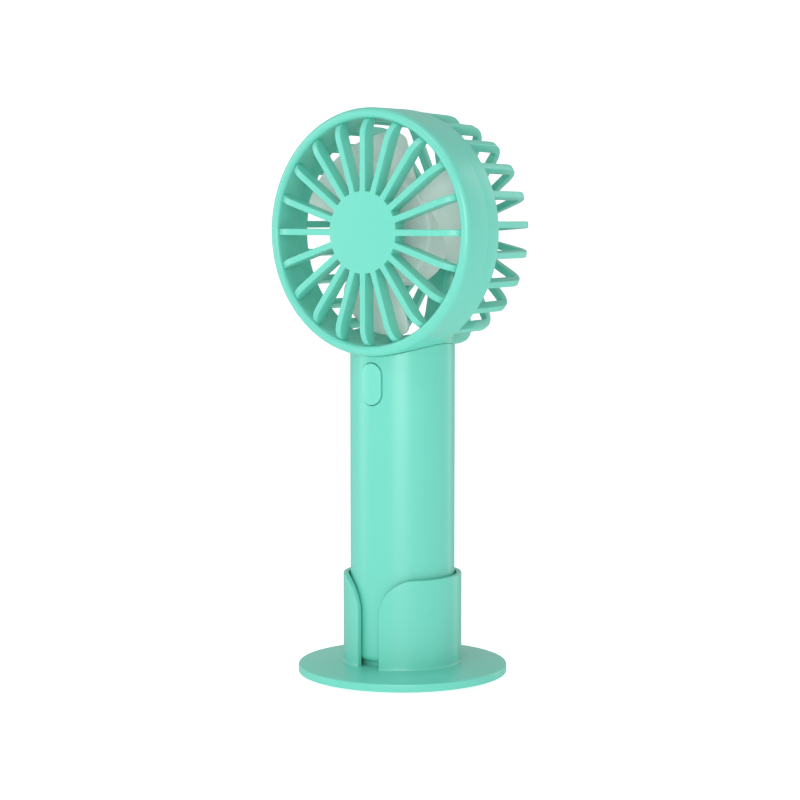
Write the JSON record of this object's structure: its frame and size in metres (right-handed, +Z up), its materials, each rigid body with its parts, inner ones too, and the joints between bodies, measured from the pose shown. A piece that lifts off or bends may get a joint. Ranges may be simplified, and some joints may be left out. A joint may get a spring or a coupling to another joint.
{
  "type": "handheld electric fan",
  "caption": "Hand-held battery fan: a round spoked grille and open cage on a plain round handle, standing in a slotted cup on a thin disc base.",
  "frame": {"origin": "centre of the underside of the stand, at the bottom centre of the bounding box", "axes": "+Z up along the handle; the air leaves the front grille towards -Y; +X is the fan's left as it blows"},
  "size_m": [0.096, 0.0834, 0.2237],
  "materials": {
    "body_plastic": "satin mint green moulding",
    "button_plastic": "satin mint green, a shade lighter",
    "blade_plastic": "milky translucent",
    "pad_rubber": "dull foam rubber",
    "inner_plastic": "plain moulding",
    "light_plastic": "clear to milky",
    "cell_wrap": "shrink wrap",
    "bright_steel": "plated",
    "motor_steel": "plated",
    "bush_brass": "turned",
    "magnet": "ferrite, dull",
    "copper_core": "laminations with copper windings",
    "board": "solder mask",
    "lead_sleeve": "insulated wire"
  },
  "bodies": {
    "stand": {"stand_base": "body_plastic", "foot_pad": "pad_rubber"},
    "fan": {"handle_shell": "body_plastic", "battery_door": "body_plastic", "front_cover": "body_plastic", "rear_cover": "body_plastic", "carrier": "inner_plastic", "battery_cell": "cell_wrap", "contact_spring": "bright_steel", "contact_plate": "bright_steel", "circuit_board": "board", "board_screws": "bright_steel", "charge_socket": "bright_steel", "charge_light": "light_plastic", "tact_switch": "inner_plastic", "neck_screws": "bright_steel", "motor_can": "motor_steel", "motor_end_cap": "inner_plastic", "motor_bushes": "bush_brass", "motor_magnets": "magnet", "motor_screws": "bright_steel", "motor_terminals": "bush_brass", "motor_leads": "lead_sleeve"},
    "rotor": {"impeller": "blade_plastic", "motor_shaft": "bright_steel", "motor_core": "copper_core"},
    "button": {"speed_button": "button_plastic", "switch_plunger": "inner_plastic"}
  },
  "joints": [
    {"name": "fan_lift", "type": "slide", "parent": "stand", "child": "fan", "axis": [0, 0, 1], "range_m": [0, 0.045]},
    {"name": "rotor_spin", "type": "hinge", "parent": "fan", "child": "rotor", "pos_m": [0, 0, 0.1757], "axis": [0, 1, 0], "continuous": true},
    {"name": "button_press", "type": "slide", "parent": "fan", "child": "button", "axis": [0, 1, 0], "range_m": [0, 0.0005], "stiffness_N_per_m": 800}
  ]
}
